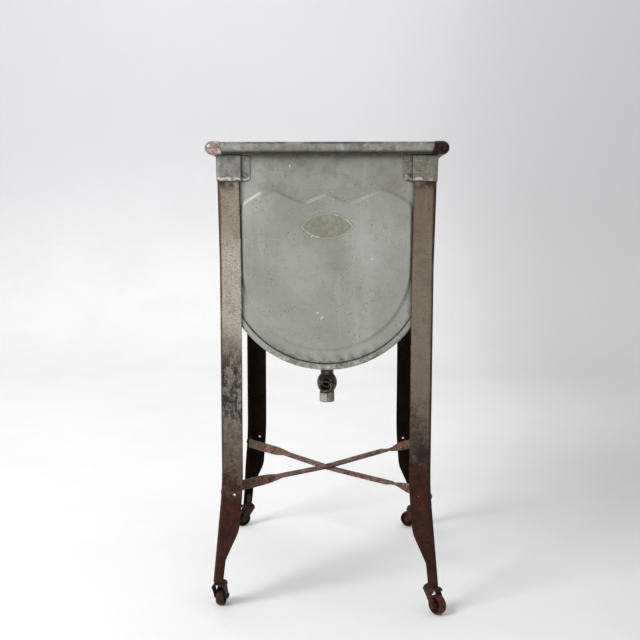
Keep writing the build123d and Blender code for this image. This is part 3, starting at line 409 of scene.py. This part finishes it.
def worn_metal(name, seed, base, dark, bright, wear=0.7, metal=0.85, rough=0.38, left_face_light=None):
    """Plated or bare metal dulled by grime, bright where it is rubbed; painted shade in gaps, and optionally painted
    light on faces turned to the left.
    """
    s = Shader(name)
    here = s.moved(shift=(seed, seed * 0.3, seed * 2.1))
    patches = s.noise(85, 6, 0.7, here)
    colour = s.mix(s.step(patches, 0.40, 0.60), base, dark)
    shine = s.times(s.step(s.noise(140, 5, 0.66, s.moved(shift=(seed, 5, 5))), 0.52, 0.64), 0.6)
    rub = s.times(s.edge(0.0018), s.step(s.noise(160, 4, 0.6, here), 0.3, 0.55))
    worn = s.most(shine, rub)
    if left_face_light:
        nx, ny, nz = s.axes(s.own_normal)
        # painted light: faces turned to the left are lightened and made less metallic, standing in for the key light
        face = s.times(s.step(nx, -0.75, -0.3, 1.0, 0.0), s.step(s.noise(240, 5, 0.7, here), 0.28, 0.42))
        worn = s.most(worn, s.times(face, left_face_light))
        metal = s.math("SUBTRACT", metal, s.times(face, 0.6 * left_face_light))
    # this bright mix also carries the painted light on faces turned to the left
    colour = s.mix(s.times(worn, wear), colour, bright)
    # painted shade darkens corners and gaps
    colour = s.mix(s.times(s.cavity(0.006), 0.85), colour, (0.010, 0.008, 0.006))
    bumps = [(s.noise(160, 4, 0.6, here), 0.4, 0.0004), (s.noise(600, 3, 0.6, here), 0.3, 0.0001)]
    return s.finish(colour, s.step(patches, 0.3, 0.7, rough - 0.08, rough + 0.22), metal, bumps)


def socket_sheet(name, seed, light, dark):
    """Thin galvanised strip, scratched and flecked, rusty along its lower edge."""
    s = Shader(name)
    x, y, z = s.axes()
    here = s.moved(shift=(seed, seed * 1.1, seed * 0.7))
    patches = s.noise(62, 7, 0.72, here)
    colour = s.mix(s.step(patches, 0.38, 0.62), light, dark)
    scuff = s.noise(1.0, 4, 0.6, s.moved((110, 110, 420), (seed, 0, 0)))
    colour = s.mix(s.times(s.step(scuff, 0.58, 0.68), 0.5), colour, (0.62, 0.62, 0.60))
    colour = s.mix(s.times(s.step(s.noise(340, 4, 0.7, here), 0.5, 0.68), 0.45), colour, tuple(c * 0.55 for c in dark))
    specks = s.step(s.noise(120, 6, 0.72, here), 0.62, 0.66)
    colour = s.mix(s.times(specks, 0.88), colour, (0.04, 0.032, 0.026))
    low = s.math("ADD", z, s.times(s.math("SUBTRACT", s.noise(70, 4, 0.6, here), 0.5), 0.010))
    bright = s.times(s.step(low, 0.8205, 0.8225), s.step(low, 0.824, 0.8265, 1.0, 0.0), s.step(s.noise(120, 4, 0.6, here), 0.42, 0.55))
    colour = s.mix(s.times(bright, 0.7), colour, (0.72, 0.71, 0.68))
    colour = s.mix(s.times(s.step(low, 0.8185, 0.8212, 1.0, 0.0), 0.85), colour, (0.075, 0.04, 0.026))
    worn = s.times(s.edge(0.0012), s.step(s.noise(90, 3, 0.6, here), 0.35, 0.55))
    colour = s.mix(s.times(worn, 0.8), colour, (0.74, 0.74, 0.72))
    # painted shade darkens corners and gaps, such as round the tab edges
    colour = s.mix(s.times(s.cavity(0.006), 0.95), colour, (0.02, 0.016, 0.013))
    bumps = [(s.noise(60, 4, 0.6, here), 0.4, 0.0008), (s.noise(400, 3, 0.6, here), 0.35, 0.0002)]
    return s.finish(colour, s.step(patches, 0.3, 0.7, 0.36, 0.55), 0.5, bumps)


def rubber(name):
    s = Shader(name)
    dust = s.noise(160, 4, 0.6)
    colour = s.mix(s.step(dust, 0.4, 0.7), (0.012, 0.012, 0.012), (0.05, 0.046, 0.04))
    return s.finish(colour, 0.8, 0.0, [(s.noise(300, 3, 0.6), 0.4, 0.0002)])


def wear(names, material):
    """Gives CAD nodes a material."""
    for name in names:
        mesh = nodes[name].data
        mesh.materials.clear()
        mesh.materials.append(material)


wear(["end_panel_front"], galvanised("zinc_front", 0.0, front=True))
wear(["end_panel_rear"], galvanised("zinc_rear", 3.1))
wear(["tub_shell"], galvanised("zinc_shell", 7.7))
# left caps are set lighter, with bright patches, and right caps darker: partly their own worn tone, partly painted
# light and highlights from the left
CAP_LOOKS = {
    "fl": ((0.52, 0.42, 0.39), (0.24, 0.15, 0.13), (0.90, 0.80, 0.78), 0.85, 0.30),
    "fr": ((0.040, 0.018, 0.014), (0.018, 0.009, 0.008), (0.24, 0.14, 0.11), 0.40, 0.36),
    "rl": ((0.16, 0.10, 0.08), (0.06, 0.035, 0.03), (0.45, 0.34, 0.30), 0.60, 0.34),
    "rr": ((0.11, 0.07, 0.055), (0.04, 0.024, 0.02), (0.35, 0.24, 0.20), 0.60, 0.36),
}
SOCKET_LOOKS = {
    "fl": ((0.305, 0.295, 0.275), (0.18, 0.172, 0.16)),
    "fr": ((0.250, 0.243, 0.190), (0.165, 0.158, 0.122)),
    "rl": ((0.33, 0.325, 0.30), (0.21, 0.205, 0.185)),
    "rr": ((0.35, 0.345, 0.32), (0.22, 0.215, 0.19)),
}
LEG_LOOKS = {
    "fl": dict(
        signs=(-1, -1),
        paint=((0.285, 0.232, 0.170), (0.415, 0.395, 0.330), (0.225, 0.195, 0.150)),
        rust=(0.290, 0.215),
        chips=(0.355, 0.50, 0.97),
        corner=((0.055, 0.018, 0.012), 0.85),
        streak=(0.815, 0.60, -0.1985, 0.005, (0.115, 0.045, 0.030)),
    ),
    "fr": dict(
        signs=(1, -1),
        paint=((0.165, 0.122, 0.078), (0.195, 0.158, 0.112), (0.175, 0.143, 0.100)),
        rust=(0.345, 0.285),
        chips=(0.29, 0.345, 0.8),
        # the front right leg's near-black outer corner is painted shade
        corner=((0.022, 0.012, 0.009), 0.95),
        blot=(0.179, 0.307, 0.019),
        # the front right leg's dark streak along its right edge is painted shade
        streak=(0.82, 0.28, 0.2015, 0.009, (0.032, 0.016, 0.012)),
    ),
    "rl": dict(
        signs=(-1, 1),
        paint=((0.25, 0.215, 0.165), (0.30, 0.28, 0.23), (0.24, 0.21, 0.17)),
        rust=(0.30, 0.2),
        chips=(0.3, 0.6, 0.8),
        corner=((0.05, 0.02, 0.014), 0.8),
    ),
    "rr": dict(
        signs=(1, 1),
        paint=((0.25, 0.215, 0.165), (0.28, 0.255, 0.2), (0.24, 0.21, 0.17)),
        rust=(0.33, 0.22),
        chips=(0.4, 0.5, 0.8),
        corner=((0.05, 0.02, 0.014), 0.8),
    ),
}
for index, corner in enumerate(CORNERS):
    base, dark, bright, amount, rough = CAP_LOOKS[corner]
    wear([f"corner_cap_{corner}"], worn_metal(f"cap_{corner}", 2.0 * index, base, dark, bright, amount, 0.8, rough))
    wear([f"leg_socket_{corner}"], socket_sheet(f"socket_{corner}", 1.3 * index + 0.4, *SOCKET_LOOKS[corner]))
    look = LEG_LOOKS[corner]
    wear([f"leg_{corner}"], leg_paint(f"leg_{corner}", 5.0 * index + 0.7, *look["signs"], look))
wear(["socket_rivets"], worn_metal("rivet_zinc", 1.0, (0.34, 0.33, 0.30), (0.14, 0.12, 0.1), (0.75, 0.74, 0.72)))
OLIVE = (0.055, 0.042, 0.024)
brace = rusted(
    "brace_rust", 2.0, (0.47, 0.31, 0.245), (0.225, 0.112, 0.080), (0.055, 0.022, 0.015), 0.15, 0.66, 1.0, (OLIVE, -0.185, -0.115)
)
wear(["brace_bar_lower", "brace_bar_upper"], brace)
wear(["brace_rivet", "brace_bolts", "brace_nuts"], rusted("brace_fasteners", 4.0, (0.24, 0.13, 0.09), (0.11, 0.05, 0.034), (0.035, 0.017, 0.012)))
bronze = worn_metal("valve_bronze", 0.0, (0.075, 0.062, 0.046), (0.02, 0.016, 0.012), (0.55, 0.52, 0.45), 0.85, 0.8, 0.32)
wear(["valve_body", "valve_plug", "drain_locknut", "drain_flange"], bronze)
# the hex's faces turned to the left get painted light (last argument)
hexagon = worn_metal("hex_nickel", 6.0, (0.24, 0.225, 0.19), (0.07, 0.06, 0.05), (0.82, 0.79, 0.72), 0.9, 0.7, 0.34, 0.9)
wear(["valve_hex"], hexagon)
wear(["drain_gasket"], rubber("gasket_rubber"))
CASTER_TONES = {
    "fl": ((0.085, 0.032, 0.020), (0.040, 0.015, 0.010), (0.012, 0.006, 0.005)),
    "fr": ((0.150, 0.050, 0.026), (0.070, 0.021, 0.011), (0.020, 0.007, 0.005)),
    "rl": ((0.085, 0.035, 0.022), (0.040, 0.015, 0.010), (0.012, 0.006, 0.005)),
    "rr": ((0.13, 0.045, 0.026), (0.06, 0.02, 0.012), (0.018, 0.008, 0.006)),
}
for index, corner in enumerate(CORNERS):
    tones = CASTER_TONES[corner]
    pieces = [f"caster_{kind}_{corner}" for kind in ("sleeve", "stem", "fork", "axle")]
    wear(pieces, rusted(f"caster_rust_{corner}", 8.0 + index, *tones, 0.15, 0.7, 1.6))
    wear([f"caster_wheel_{corner}"], rusted(f"wheel_rust_{corner}", 14.0 + index, *tones, 0.15, 0.66, 1.3))


# ---------------------------------------------------------------- floor and backdrop
def backdrop():
    """Pale floor that curves up into the wall behind, painted brighter on the left and darker to the right as painted
    light.
    """
    radius, depth, side, height = 0.9, 2.6, 6.0, 5.0
    profile = [(-6.0, 0.0)]
    for k in range(17):
        angle = k / 16 * pi / 2
        profile.append((depth + radius * sin(angle), radius * (1 - cos(angle))))
    profile.append((depth + radius, height))
    vertices = [(s * side, y, z) for y, z in profile for s in (-1, 1)]
    faces = [(2 * k, 2 * k + 1, 2 * k + 3, 2 * k + 2) for k in range(len(profile) - 1)]
    mesh = bpy.data.meshes.new("studio_floor")
    mesh.from_pydata(vertices, [], faces)
    for face in mesh.polygons:
        face.use_smooth = True
    floor = bpy.data.objects.new("studio_floor", mesh)
    scene.collection.objects.link(floor)
    s = Shader("studio_paper")
    smudge = s.noise(2.2, 4, 0.6)
    x, y, z = s.axes()
    fine = s.noise(18, 5, 0.7)
    # painted light: floor and wall are painted brighter on the left and darker towards the right, a light falloff
    colour = s.mix(s.step(x, 0.05, 1.25), (0.985, 0.978, 0.968), (0.70, 0.69, 0.68))
    colour = s.mix(s.times(s.step(smudge, 0.35, 0.7), 0.10), colour, (0.6, 0.6, 0.6))
    colour = s.mix(s.times(s.step(fine, 0.62, 0.75), 0.12), colour, (0.5, 0.5, 0.48))
    colour = s.mix(s.step(z, 0.02, 1.4, 0.0, 0.7), colour, (0.655, 0.655, 0.672))
    mesh.materials.append(s.finish(colour, 0.9, 0.0, [(s.noise(30, 3, 0.6), 0.05, 0.002)]))


def area_light(name, place, aim, size, power, colour=(1, 1, 1)):
    light = bpy.data.lights.new(name, "AREA")
    light.shape = "RECTANGLE"
    light.size, light.size_y = size
    light.energy = power
    light.color = colour
    lamp = bpy.data.objects.new(name, light)
    lamp.location = place
    lamp.rotation_euler = (Vector(aim) - Vector(place)).to_track_quat("-Z", "Y").to_euler()
    scene.collection.objects.link(lamp)


backdrop()
area_light("key", (-2.4, -2.0, 2.6), (0, 0, 0.5), (1.5, 1.5), 86)
area_light("fill", (2.6, -2.4, 1.6), (0, 0, 0.5), (2.0, 2.0), 8)
area_light("wall", (-0.6, 1.2, 3.6), (-0.4, 3.6, 0.9), (4.0, 1.5), 34)

world = bpy.data.worlds.new("studio")
scene.world = world
world.use_nodes = True
world.node_tree.nodes["Background"].inputs[0].default_value = (0.97, 0.97, 1.0, 1)
world.node_tree.nodes["Background"].inputs[1].default_value = 0.575
scene.view_settings.view_transform = "Standard"

# ---------------------------------------------------------------- camera
camera_data = bpy.data.cameras.new("camera")
camera_data.lens = 49.22
camera_data.sensor_width = 36.0
camera = bpy.data.objects.new("camera", camera_data)
camera.location = (0.0451, -1.8626, 0.7351)
facing = Euler((radians(90 - 6.07), 0, radians(1.99))).to_matrix() @ Matrix.Rotation(radians(0.107), 3, "Z")
camera.rotation_euler = facing.to_euler()
scene.collection.objects.link(camera)
scene.camera = camera
